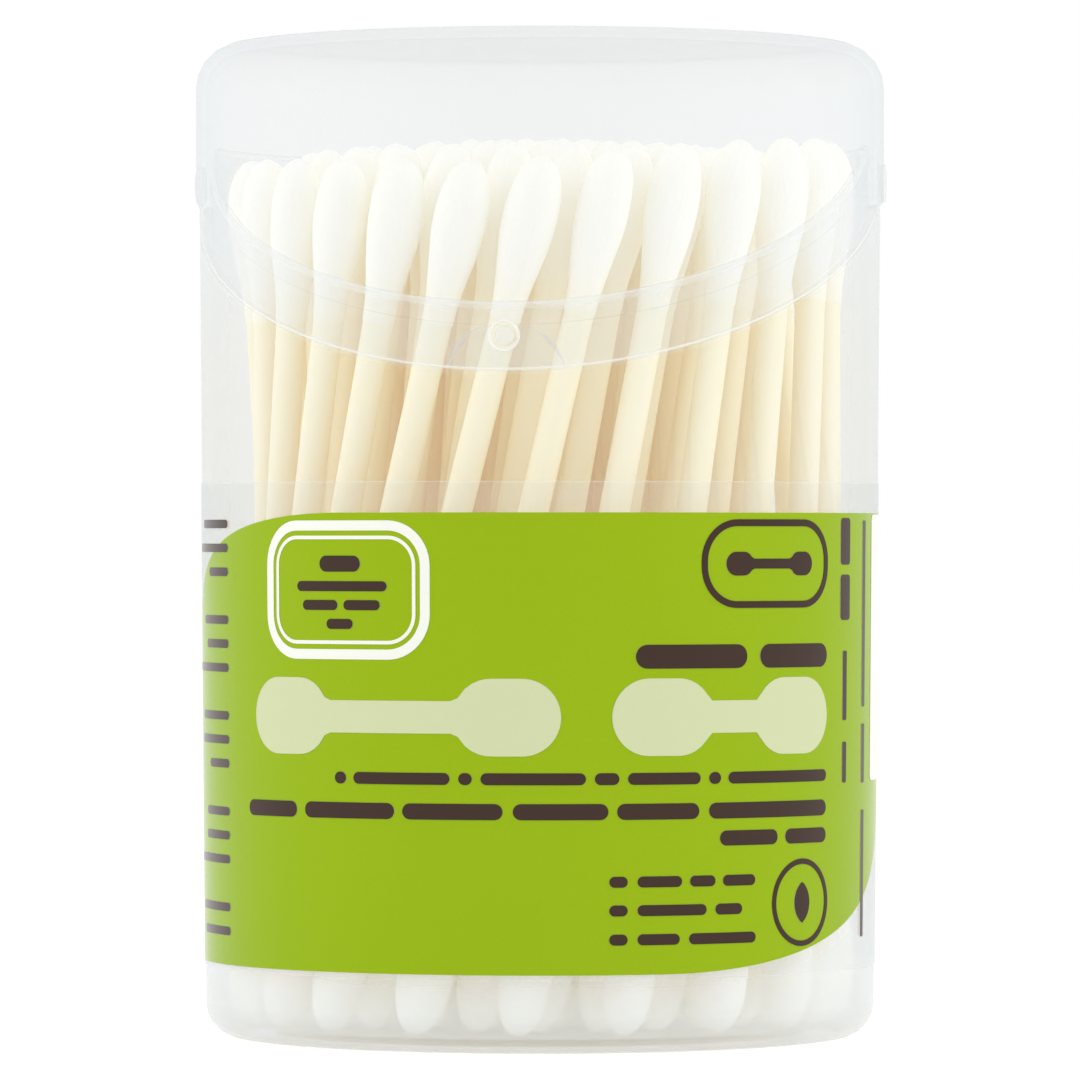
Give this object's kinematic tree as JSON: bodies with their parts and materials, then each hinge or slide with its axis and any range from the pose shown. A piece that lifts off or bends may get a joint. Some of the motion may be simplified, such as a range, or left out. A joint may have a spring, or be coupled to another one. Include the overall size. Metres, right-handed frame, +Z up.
{
  "type": "cotton swab tub",
  "caption": "Round clear plastic tub of double-ended cotton swabs, with a hinged lid whose sloping front apron catches on the neck, and a wrapped clear film label.",
  "frame": {"origin": "centre of the tub's base, on the surface that it stands on", "axes": "+Z up along the tub's axis, -Y towards the front of the lid where it catches, +X to the right seen from the front, with the hinge pin parallel to X at the back"},
  "size_m": [0.0576, 0.0603, 0.0822],
  "materials": {
    "clear_plastic": "clear moulded plastic, glossy",
    "hazy_plastic": "slightly hazy moulded plastic, glossy",
    "clear_film": "clear self-adhesive film",
    "green_ink": "printed ink under gloss varnish",
    "white_ink": "printed ink under gloss varnish",
    "cream_ink": "printed ink under gloss varnish",
    "dark_ink": "printed ink under gloss varnish",
    "paper_stem": "rolled paper, smooth and matt",
    "cotton": "wound cotton fibre, soft and matt"
  },
  "bodies": {
    "tub": {"tub": "clear_plastic", "label_film": "clear_film", "green_field": "green_ink", "white_print": "white_ink", "cream_print": "cream_ink", "dark_print": "dark_ink", "stems_ring_0": "paper_stem", "stems_ring_1": "paper_stem", "stems_ring_2": "paper_stem", "stems_ring_3": "paper_stem", "stems_ring_4": "paper_stem", "stems_ring_5": "paper_stem", "top_tips_ring_0": "cotton", "top_tips_ring_1": "cotton", "top_tips_ring_2": "cotton", "top_tips_ring_3": "cotton", "top_tips_ring_4": "cotton", "top_tips_ring_5": "cotton", "bottom_tips_ring_0": "cotton", "bottom_tips_ring_1": "cotton", "bottom_tips_ring_2": "cotton", "bottom_tips_ring_3": "cotton", "bottom_tips_ring_4": "cotton", "bottom_tips_ring_5": "cotton"},
    "lid": {"lid": "hazy_plastic"}
  },
  "joints": [
    {"name": "lid_hinge", "type": "hinge", "parent": "tub", "child": "lid", "pos_m": [0, 0.0302, 0.0687], "axis": [-1, 0, 0], "range_deg": [0, 170]}
  ]
}
